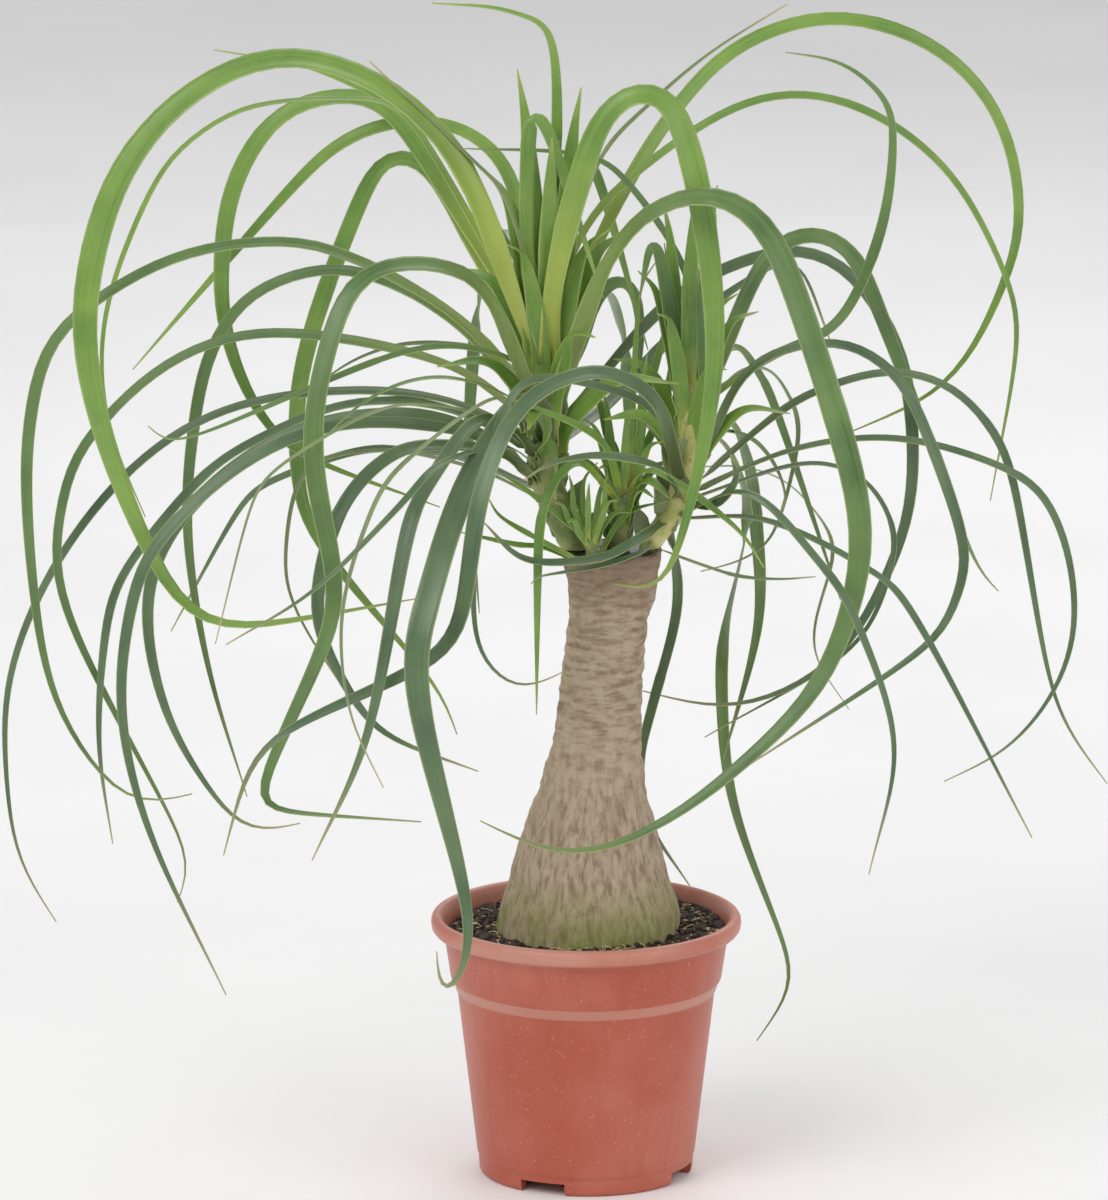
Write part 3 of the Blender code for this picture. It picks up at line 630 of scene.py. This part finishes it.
def mesh_object(name: str, points: list[Vector], faces: list[tuple[int, ...]], finish: Material,
                slot: str, *nodes: str) -> bpy.types.Object:
    """Make a smooth mesh object in millimetres and ride it on the plant.

    Args:
        name: the piece's name.
        points: corner points, in millimetres.
        faces: corner numbers of each face.
        finish: its material.
        slot: not used.
        *nodes: CAD nodes that the piece replaces.

    Returns:
        The new object.
    """
    mesh = bpy.data.meshes.new(name)
    mesh.from_pydata([point * MM for point in points], [], faces)
    mesh.materials.append(finish)
    mesh.shade_smooth()
    obj = bpy.data.objects.new(name, mesh)
    bpy.context.scene.collection.objects.link(obj)
    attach(obj, "root")
    if nodes:
        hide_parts(*nodes)
    log.info("%s made", name)
    return obj


def turns(sides: int) -> list[float]:
    """Angles spread evenly over one full turn."""
    return [math.tau * side / sides for side in range(sides)]


def level(turn: float) -> Vector:
    """The unit direction at an angle from +X towards +Y."""
    return Vector((math.cos(turn), math.sin(turn), 0.0))


def ring_faces(rings: int, sides: int) -> list[tuple[int, ...]]:
    """Quads between closed rings of points that are stacked upwards.

    Args:
        rings: how many rings.
        sides: how many points each has.

    Returns:
        Each face's corner numbers.
    """
    faces = []
    for low in range(0, (rings - 1) * sides, sides):
        for side in range(sides):
            after = (side + 1) % sides
            faces.append((low + side, low + after, low + sides + after, low + sides + side))
    return faces


def smooth_route(points: list[Vector], count: int, steps: int = 16) -> list[Vector]:
    """Evenly spaced points on a smooth curve through the given ones.

    Args:
        points: the route's own points.
        count: how many points to return.
        steps: how finely each stretch is sampled first.

    Returns:
        The curve's points.
    """
    ends = [2 * points[0] - points[1], *points, 2 * points[-1] - points[-2]]
    dense = []
    for a, b, c, d in zip(ends, ends[1:], ends[2:], ends[3:]):
        for step in range(steps):
            t = step / steps
            dense.append(0.5 * (2 * b + (c - a) * t + (2 * a - 5 * b + 4 * c - d) * t * t
                                + (3 * b - a - 3 * c + d) * t ** 3))
    dense.append(points[-1])
    travelled = [0.0]
    for a, b in zip(dense, dense[1:]):
        travelled.append(travelled[-1] + (b - a).length)
    route = []
    index = 0
    for row in range(count):
        target = travelled[-1] * row / (count - 1)
        while index < len(dense) - 2 and travelled[index + 1] < target:
            index += 1
        span = max(travelled[index + 1] - travelled[index], 1e-6)
        route.append(dense[index].lerp(dense[index + 1], (target - travelled[index]) / span))
    return rounded(route)


def rounded(route: list[Vector], passes: int = 6) -> list[Vector]:
    """Ease the bends of a route, keeping both its ends.

    Args:
        route: the points.
        passes: how often they are eased.

    Returns:
        As many points, on gentler bends.
    """
    for _ in range(passes):
        eased = [(a + 2 * b + c) / 4 for a, b, c in zip(route, route[1:], route[2:])]
        route = [route[0], *eased, route[-1]]
    return route


def stem_at(shoot: str, height: float) -> tuple[Vector, float]:
    """The shoot's centre and radius at a height.

    Args:
        shoot: the shoot's name.
        height: the height, in millimetres.

    Returns:
        The centre and the radius.
    """
    sections = SHOOTS[shoot]
    for (x0, y0, z0, r0), (x1, y1, z1, r1) in zip(sections, sections[1:]):
        if height <= z1:
            t = max(0.0, (height - z0) / (z1 - z0))
            return Vector((x0 + (x1 - x0) * t, y0 + (y1 - y0) * t, height)), r0 + (r1 - r0) * t
    return Vector((x1, y1, z1)), r1


# ---- the plant's sub-assemblies


@dataclass
class Leaves:
    """The strap leaves: channelled, tapering blades with veins, on all four shoots."""

    rows: int = 64
    across: int = 7
    thickness: float = 0.45
    channel: float = 0.16
    foot_share: float = 0.16
    taper_from: float = 0.45
    thin: float = 2.4
    young_drop: float = 24.0
    mature_drop: float = 60.0
    heart_foot: float = 356.0
    heart_radius: float = 9.0
    scale_foot: float = 351.0
    scale_drop: float = 7.0
    seed: int = 11
    hearts: tuple[tuple[str, int, float], ...] = (
        ("tall", 16, 150), ("right", 15, 105), ("middle", 11, 62), ("front", 9, 34))
    scales: tuple[tuple[str, int, float], ...] = (("tall", 20, 8.5), ("right", 18, 9.0), ("middle", 9, 6.0))
    finishes: dict[Age, Material] = field(default_factory=dict)

    def build(self) -> None:
        """Build every leaf."""
        self.finishes = {finish.age: finish.material() for finish in BLADE_FINISHES}
        large = {**self.numbered("leaf", MAIN_LEAVES), **BACK_LEAVES}
        for name, leaf in large.items():
            self.blade(f"{name}_blade", leaf, name)
        fine = {**self.numbered("fine", FINE_LEAVES), **self.heart_leaves(), **self.stem_scales()}
        for name, leaf in fine.items():
            self.blade(name, leaf)

    def numbered(self, kind: str, leaves: tuple[Leaf, ...]) -> dict[str, Leaf]:
        """Name leaves by kind, shoot and number on the shoot, such as leaf_tall_01.

        Args:
            kind: the names' first word.
            leaves: the leaves, in order.

        Returns:
            The leaves by name.
        """
        counts = Counter()
        named = {}
        for leaf in leaves:
            counts[leaf.shoot] += 1
            named[f"{kind}_{leaf.shoot}_{counts[leaf.shoot]:02d}"] = leaf
        return named

    def age_of(self, name: str, leaf: Leaf) -> Age:
        """Leaves that start high on a shoot are young; thin ones dry first.

        Args:
            name: the piece's name.
            leaf: its facts.

        Returns:
            Its age.
        """
        top = SHOOTS[leaf.shoot][-1][2]
        if leaf.width < self.thin or name.startswith("scale"):
            return Age.DRY
        if leaf.foot > top - self.young_drop or name.startswith("heart"):
            return Age.YOUNG
        return Age.MATURE if leaf.foot > top - self.mature_drop else Age.OLD

    def heart_leaves(self) -> dict[str, Leaf]:
        """Upright young leaves that fill the heart of each shoot, and short ones round it.

        Returns:
            The leaves by name.
        """
        dice = random.Random(self.seed)
        made = {}
        for shoot, count, reach in self.hearts:
            top = SHOOTS[shoot][-1]
            for number in range(count):
                share = number / count
                lean = (0.10 + 0.75 * share) * reach * 0.6
                rise = reach * (1.0 - 0.55 * share) * dice.uniform(0.75, 1.05)
                out = level(number * GOLDEN_ANGLE)
                start = Vector(top[:3]) - UP * ((top[2] - self.heart_foot) * share * 0.8)
                near = self.heart_radius
                points = [start + out * near + UP * (rise * 0.3),
                          start + out * (near + lean * 0.45) + UP * (rise * 0.75),
                          start + out * (near + lean) + UP * (rise * (1.0 - 0.3 * share))]
                width = dice.uniform(0.065, 0.09) * reach if shoot != "front" else 3.0
                route = tuple(tuple(point) for point in points)
                made[f"heart_{shoot}_{number + 1:02d}"] = Leaf(shoot, start.z - 6, width, route)
        return made

    def stem_scales(self) -> dict[str, Leaf]:
        """Short dry leaf bases that clasp the stems under the crowns.

        Returns:
            The scales by name.
        """
        dice = random.Random(self.seed + 1)
        made = {}
        for shoot, count, width in self.scales:
            for number in range(count):
                tall = SHOOTS[shoot][-2][2] - self.scale_foot - self.scale_drop
                height = self.scale_foot + tall * number / count
                centre, radius = stem_at(shoot, height)
                out = level(number * GOLDEN_ANGLE + 0.7)
                length = dice.uniform(11, 24)
                flick = dice.uniform(1.0, 7.0)
                route = (tuple(centre + out * (radius + 0.8) + UP * (length * 0.5)),
                         tuple(centre + out * (radius + 1.2 + flick) + UP * length))
                made[f"scale_{shoot}_{number + 1:02d}"] = Leaf(shoot, height, width, route)
        return made

    def width_at(self, share: float, widest: float) -> float:
        """Broad sheathing foot, full blade, then a long taper to a thread.

        Args:
            share: how far along the leaf, from 0 to 1.
            widest: the blade's full width.

        Returns:
            The width there.
        """
        full = widest * 1.05
        if share < self.foot_share:
            return full - widest * 0.25 * math.sin(math.pi * share / self.foot_share)
        if share < self.taper_from:
            return full
        fall = (share - self.taper_from) / (1.0 - self.taper_from)
        return full * (1 - fall ** 1.35) + 0.5

    def blade(self, name: str, leaf: Leaf, node: str = "") -> None:
        """Build one leaf.

        Args:
            name: the piece's name.
            leaf: its facts.
            node: the CAD node it replaces, if any.
        """
        dice = random.Random(name)
        points = [Vector(point) for point in leaf.route]
        centre, radius = stem_at(leaf.shoot, leaf.foot)
        away = points[0] - centre
        away.z = 0.0
        foot = centre + away.normalized() * radius * 0.75
        route = smooth_route([foot, *points], self.rows)
        front = dice.uniform(0.5, 0.85)
        facing = Vector((0.0, -front, math.sqrt(1 - front * front)))
        roll = dice.uniform(-0.25, 0.25)
        corners, coords = [], []
        for row, middle in enumerate(route):
            share = row / (self.rows - 1)
            along = (route[min(row + 1, self.rows - 1)] - route[max(row - 1, 0)]).normalized()
            outward = away.normalized() * 0.8 + UP * 0.25
            normal = outward.lerp(facing, min(1.0, share / 0.14))
            normal = (normal - along * normal.dot(along)).normalized()
            side = along.cross(normal)
            turn = roll * math.sin(share * 7.0 + roll * 9.0)
            side = (side * math.cos(turn) + normal * math.sin(turn)).normalized()
            normal = side.cross(along)
            half = self.width_at(share, leaf.width) / 2
            for column in range(self.across):
                u = 2 * column / (self.across - 1) - 1
                lift = half * self.channel * (abs(u) ** 1.5) * (1.6 if share < 0.2 else 1.0)
                corners.append(middle + side * half * u + normal * lift)
                coords.append((column / (self.across - 1), share))
        n = self.across
        faces = [(r * n + c, r * n + c + 1, (r + 1) * n + c + 1, (r + 1) * n + c)
                 for r in range(self.rows - 1) for c in range(n - 1)]
        nodes = (node,) if node else ()
        piece = mesh_object(name, corners, faces, self.finishes[self.age_of(name, leaf)], "blade", *nodes)
        layer = piece.data.uv_layers.new(name="blade")
        for loop in piece.data.loops:
            layer.data[loop.index].uv = coords[loop.vertex_index]
        shell = piece.modifiers.new("Thickness", "SOLIDIFY")
        shell.thickness = self.thickness * MM
        shell.offset = 0.0


@dataclass
class Pot:
    """The nursery pot: rolled lip, collar, step, tapered wall, foot ring with four notches."""

    sides: int = 144
    height: float = 145.0
    foot: float = 7.5
    notch_angles: tuple[float, ...] = (-24.5, 65.5, 155.5, 245.5)
    notch_size: Point = (26.0, 24.0, 14.0)
    notch_radius: float = 57.0
    edge_round: float = 0.5

    def profile(self) -> list[tuple[float, float]]:
        """The section from the centre of the inner floor over the lip and down to the feet.

        Returns:
            Radius and height of each point.
        """
        floor = self.foot + 2.5
        inside = [(0.01, floor), (57.0, floor), (68.2, 100.0), (69.2, 103.0), (71.4, 107.0), (72.3, 110.0),
                  (74.6, 127.0), (75.4, 132.0), (76.2, 136.0), (77.6, 140.5), (79.0, 143.4)]
        lip = [(80.6, 144.8), (82.2, 144.9), (83.8, 144.1), (84.8, 142.4), (85.0, 140.0), (84.6, 137.6),
               (83.4, 136.0), (81.6, 135.4), (79.0, 135.0), (78.0, 134.2), (77.6, 132.0)]
        wall = [(74.3, 110.2), (73.8, 109.0), (73.0, 108.2), (71.4, 103.2), (70.7, 102.2), (70.4, 100.6),
                (60.6, 18.0), (59.9, 12.0), (59.7, 10.8), (59.1, 10.2), (59.0, 8.0), (58.7, 2.6), (58.0, 0.9),
                (56.8, 0.0)]
        under = [(53.0, 0.0), (51.5, self.foot), (13.5, self.foot), (12.0, 0.0), (0.01, 0.0)]
        return [*inside, *lip, *wall, *under]

    def build(self) -> None:
        """Build the pot and cut its notches."""
        section = self.profile()
        points = []
        for radius, up in section:
            for turn in turns(self.sides):
                sway = 1.0 + 0.0022 * math.sin(2 * turn + 0.6) * (up / self.height)
                reach = radius * sway
                points.append(Vector((reach * math.sin(turn), -reach * math.cos(turn), up)))
        faces = ring_faces(len(section), self.sides)
        faces.append(tuple(reversed(range(self.sides))))
        last = (len(section) - 1) * self.sides
        faces.append(tuple(range(last, last + self.sides)))
        pot = mesh_object("nursery_pot", points, faces, PotFinish().material(), "pot_plastic", "pot")
        clean = bmesh.new()
        clean.from_mesh(pot.data)
        bmesh.ops.recalc_face_normals(clean, faces=clean.faces)
        clean.to_mesh(pot.data)
        clean.free()
        for number, angle in enumerate(self.notch_angles, 1):
            cut = pot.modifiers.new(f"Notch {number}", "BOOLEAN")
            cut.operation = "DIFFERENCE"
            cut.object = self.notch_cutter(number, math.radians(angle))
        edges = pot.modifiers.new("Rounded", "BEVEL")
        edges.width = self.edge_round * MM
        edges.segments = 2
        edges.limit_method = "ANGLE"
        edges.angle_limit = math.radians(50)

    def notch_cutter(self, number: int, turn: float) -> bpy.types.Object:
        """A hidden block that cuts one notch through the foot ring.

        Args:
            number: the notch's number.
            turn: its angle from the front, in radians.

        Returns:
            The block.
        """
        cutter = bpy.data.meshes.new(f"notch_cutter_{number}")
        block = bmesh.new()
        bmesh.ops.create_cube(block, size=1.0)
        bmesh.ops.scale(block, vec=[size * MM for size in self.notch_size], verts=block.verts)
        block.to_mesh(cutter)
        block.free()
        obj = bpy.data.objects.new(cutter.name, cutter)
        bpy.context.scene.collection.objects.link(obj)
        obj.rotation_euler = (0.0, 0.0, turn)
        reach = self.notch_radius * MM
        obj.location = (reach * math.sin(turn), -reach * math.cos(turn), 0.0)
        obj.hide_render = True
        obj.hide_viewport = True
        obj.display_type = "WIRE"
        return obj


@dataclass
class Soil:
    """Dark peat with crumbs, pale chips and root fibres."""

    top: float = 138.0
    sides: int = 160
    rings: int = 23
    inner: float = 45.0
    breadth: float = 30.4
    skirt: tuple[float, float] = (74.6, 122.0)
    lump_height: float = 1.6
    lump_pitch: float = 0.09
    sag: float = 1.2
    tilt: float = 0.015
    open_ring: tuple[float, float] = (50.5, 73.5)
    fibre_reach: float = 73.0
    fibre_step: float = 1.5
    fibre_rows: int = 7
    seed: int = 5
    crumbs: int = 620
    chips: int = 150
    fibres: int = 90

    def height_at(self, x: float, y: float) -> float:
        """The lumpy surface's height, a little lower at the left."""
        lump = noise.fractal(Vector((x, y, 3.0)) * self.lump_pitch, 1.0, 2.0, 4)
        return self.top - self.sag + self.lump_height * lump + x * self.tilt

    def build(self) -> None:
        """Build the bed, its crumbs, chips and fibres."""
        peat = SpeckledFinish("peat", (0.012, 0.008, 0.006), (0.075, 0.05, 0.032), scale=520.0).material()
        points = []
        for ring in range(self.rings):
            radius = self.inner + self.breadth * ring / (self.rings - 1)
            for turn in turns(self.sides):
                x, y = radius * math.sin(turn), -radius * math.cos(turn)
                points.append(Vector((x, y, self.height_at(x, y))))
        reach, depth = self.skirt
        for turn in turns(self.sides):
            points.append(Vector((reach * math.sin(turn), -reach * math.cos(turn), depth)))
        faces = ring_faces(self.rings + 1, self.sides)
        mesh_object("peat_bed", points, faces, peat, "peat", "soil")
        self.scatter("peat_crumbs", self.crumbs, (0.5, 1.9), 0.75, peat)
        wood = SpeckledFinish("wood_chips", (0.34, 0.22, 0.11), (0.60, 0.46, 0.27), scale=300.0).material()
        self.scatter("wood_chips", self.chips, (0.5, 1.5), 0.3, wood)
        self.root_fibres()

    def spot(self, dice: random.Random) -> tuple[float, float]:
        """A random place on the bed between the trunk and the pot.

        Args:
            dice: where the chance comes from.

        Returns:
            Across and depth, in millimetres.
        """
        turn = dice.uniform(0, math.tau)
        radius = math.sqrt(dice.uniform(*(edge ** 2 for edge in self.open_ring)))
        return radius * math.sin(turn), -radius * math.cos(turn)

    def scatter(self, name: str, count: int, sizes: tuple[float, float], flat: float,
                finish: Material) -> None:
        """Scatter rough little lumps as one piece.

        Args:
            name: the piece's name.
            count: how many lumps.
            sizes: smallest and largest radius, in millimetres.
            flat: height over width.
            finish: their material.
        """
        dice = random.Random(self.seed + count)
        points, faces = [], []
        for _ in range(count):
            x, y = self.spot(dice)
            size = dice.uniform(*sizes)
            base = Vector((x, y, self.height_at(x, y) + size * flat * 0.4))
            start = len(points)
            turn = dice.uniform(0, math.pi)
            long = dice.uniform(1.0, 1.0 + 1.4 * (1 - flat))
            for ring, up in ((0.35, -0.8), (1.0, -0.1), (0.7, 0.6), (0.15, 0.9)):
                for side in range(6):
                    a = side * math.pi / 3
                    reach = size * ring * dice.uniform(0.75, 1.2)
                    dx, dy = math.cos(a) * reach * long, math.sin(a) * reach
                    spin = Vector((dx * math.cos(turn) - dy * math.sin(turn),
                                   dx * math.sin(turn) + dy * math.cos(turn), up * size * flat))
                    points.append(base + spin)
            faces += [tuple(start + i for i in face) for face in ring_faces(4, 6)]
            faces.append(tuple(start + 18 + i for i in range(6)))
        mesh_object(name, points, faces, finish, "peat")

    def root_fibres(self) -> None:
        """Thin curled root shreds that lie on the bed, thickest in front of the trunk."""
        dice = random.Random(self.seed)
        points, faces = [], []
        for number in range(self.fibres):
            x, y = self.spot(dice)
            if number % 2:
                x, y = dice.uniform(-32, 42), -dice.uniform(52, 62)
            heading = dice.uniform(0, math.tau)
            bend = dice.uniform(-0.5, 0.5)
            radius = dice.uniform(0.14, 0.34)
            start = len(points)
            for row in range(self.fibre_rows):
                middle = Vector((x, y, self.height_at(x, y) + 0.9 + math.sin(row * 0.52 + number)))
                across = Vector((-math.sin(heading), math.cos(heading), 0)) * radius
                points += [middle + across, middle + UP * (radius * 1.4), middle - across]
                x, y = x + math.cos(heading) * self.fibre_step, y + math.sin(heading) * self.fibre_step
                heading += bend
                reach = math.hypot(x, y)
                if reach > self.fibre_reach:
                    x, y = x * self.fibre_reach / reach, y * self.fibre_reach / reach
            faces += [tuple(start + i for i in face) for face in ring_faces(self.fibre_rows, 3)]
        straw = SpeckledFinish("root_fibres", (0.52, 0.40, 0.20), (0.74, 0.62, 0.40), scale=260.0).material()
        mesh_object("root_shreds", points, faces, straw, "peat")


@dataclass
class Trunk:
    """The caudex: a fissured, flaring foot, a ringed neck and a sealed cut top."""

    sides: int = 180
    rows: int = 150
    flare_top: float = 215.0
    flare_span: float = 70.0
    cut_sides: int = 72
    cut_rings: int = 13

    def build(self) -> None:
        """Build the bark and the sealed top."""
        spine = smooth_route([Vector((x, radius, z)) for x, z, radius in TRUNK_SECTIONS], self.rows)
        points = []
        for x, radius, z in spine:
            flare = max(0.0, min(1.0, (self.flare_top - z) / self.flare_span))
            neck = 1.0 - flare
            for out in map(level, turns(self.sides)):
                ridge = noise.fractal(Vector((out.x * 9, out.y * 9, z * 0.022)), 1.0, 2.0, 4)
                scar = noise.fractal(Vector((out.x * 2.2, out.y * 2.2, z * 0.16)), 1.0, 2.0, 3)
                lobe = noise.noise(Vector((out.x * 1.7, out.y * 1.7, z * 0.012)))
                swell = flare * (1.9 * ridge + 2.6 * lobe * flare) + neck * (1.2 * scar + 0.8 * ridge)
                points.append(Vector((x, 0, z)) + out * (radius + swell - 0.4))
        faces = ring_faces(self.rows, self.sides)
        mesh_object("caudex_bark", points, faces, BarkFinish().material(), "bark", "trunk")
        self.sealed_top()

    def sealed_top(self) -> None:
        """The cut top, painted with a dark wound sealant."""
        sealant = SpeckledFinish("wound_sealant", (0.006, 0.006, 0.006), (0.05, 0.035, 0.022), 0.3, 160.0)
        middle, height, edge = TRUNK_SECTIONS[-1]
        points = []
        for ring in range(self.cut_rings):
            radius = (edge + 0.2) * (1 - ring / (self.cut_rings - 1)) + 0.02
            sunk = 0.8 if radius > 25 else 0.0
            for turn in turns(self.cut_sides):
                x, y = radius * math.cos(turn), radius * math.sin(turn)
                lump = noise.fractal(Vector((x, y, 8.0)) * 0.12, 1.0, 2.0, 3)
                points.append(Vector((middle + x, y, height + 1.4 * lump - sunk)))
        faces = ring_faces(self.cut_rings, self.cut_sides)
        mesh_object("sealed_cut", points, faces, sealant.material(), "bark")


@dataclass
class Shoots:
    """The stems under the leaves, wrapped in overlapping sheaths."""

    sides: int = 28
    rows: int = 30
    wrap_pitch: float = 0.36
    wrap_depth: float = 0.10

    def build(self) -> None:
        """Build the four stems."""
        pale = SpeckledFinish("pale_sheath", (0.42, 0.42, 0.12), (0.62, 0.58, 0.25), 0.45, 90.0, 0.2)
        dull = SpeckledFinish("green_sheath", (0.16, 0.22, 0.06), (0.34, 0.36, 0.13), 0.5, 90.0, 0.2)
        pale_sheath, dull_sheath = pale.material(), dull.material()
        for shoot, sections in SHOOTS.items():
            finish = pale_sheath if shoot == "right" else dull_sheath
            spine = smooth_route([Vector(section[:3]) for section in sections], self.rows)
            points = []
            for row, middle in enumerate(spine):
                _, radius = stem_at(shoot, middle.z)
                for side, turn in enumerate(turns(self.sides)):
                    phase = (row * self.wrap_pitch + side / self.sides) % 1.0
                    points.append(middle + level(turn) * radius * (1.0 + self.wrap_depth * (phase - 0.5)))
            faces = ring_faces(self.rows, self.sides)
            mesh_object(f"stem_{shoot}", points, faces, finish, "sheath", f"shoot_{shoot}")


@dataclass
class Studio:
    """Pale floor, soft light and the camera."""

    lens: float = 288.0
    camera_place: Point = (-0.0176, -5.086, 1.476)
    tilt_down: float = 12.8
    sky: float = 0.62
    floor_size: float = 12.0
    aim_height: float = 0.3
    lamps: tuple[tuple[str, Point, float, float], ...] = (
        ("key", (-1.5, -1.7, 2.2), 1.6, 30.0), ("fill", (1.9, -1.5, 1.3), 1.8, 13.0),
        ("back", (0.4, 2.2, 2.2), 1.8, 20.0))

    def build(self) -> None:
        """Build the floor, lights and camera."""
        bpy.ops.mesh.primitive_plane_add(size=self.floor_size, location=(0, 0, 0))
        floor = bpy.context.object
        floor.name = "floor"
        paint = SpeckledFinish("floor_paint", (0.91, 0.91, 0.91), (0.94, 0.94, 0.94), 0.8, 3.0, 0.0)
        floor.data.materials.append(paint.material())
        for name, place, size, power in self.lamps:
            self.lamp(name, Vector(place), size, power)
        world = bpy.data.worlds.new("studio")
        world.use_nodes = True
        glow = world.node_tree.nodes["Background"].inputs
        glow["Color"].default_value = (1.0, 1.0, 1.0, 1.0)
        glow["Strength"].default_value = self.sky
        bpy.context.scene.world = world
        data = bpy.data.cameras.new("camera")
        data.lens = self.lens
        data.sensor_width = 36.0
        data.clip_end = 60.0
        camera = bpy.data.objects.new("camera", data)
        camera.location = self.camera_place
        camera.rotation_euler = (math.radians(90.0 - self.tilt_down), 0.0, 0.0)
        bpy.context.scene.collection.objects.link(camera)
        bpy.context.scene.camera = camera
        bpy.context.scene.view_settings.view_transform = "Standard"

    def lamp(self, name: str, place: Vector, size: float, power: float) -> None:
        """Add one soft lamp that looks at the plant.

        Args:
            name: the lamp's name.
            place: where it stands, in metres.
            size: its square's side.
            power: its watts.
        """
        data = bpy.data.lights.new(name, "AREA")
        data.size = size
        data.energy = power
        lamp = bpy.data.objects.new(name, data)
        lamp.location = place
        lamp.rotation_euler = (UP * self.aim_height - place).to_track_quat("-Z", "Y").to_euler()
        bpy.context.scene.collection.objects.link(lamp)


def main() -> None:
    """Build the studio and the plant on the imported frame."""
    logging.basicConfig(level=logging.INFO)
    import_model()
    for assembly in (Studio(), Pot(), Soil(), Trunk(), Shoots(), Leaves()):
        assembly.build()
        log.info("%s ready", type(assembly).__name__.lower())
    bpy.context.view_layer.update()


if __name__ == "__main__":
    main()
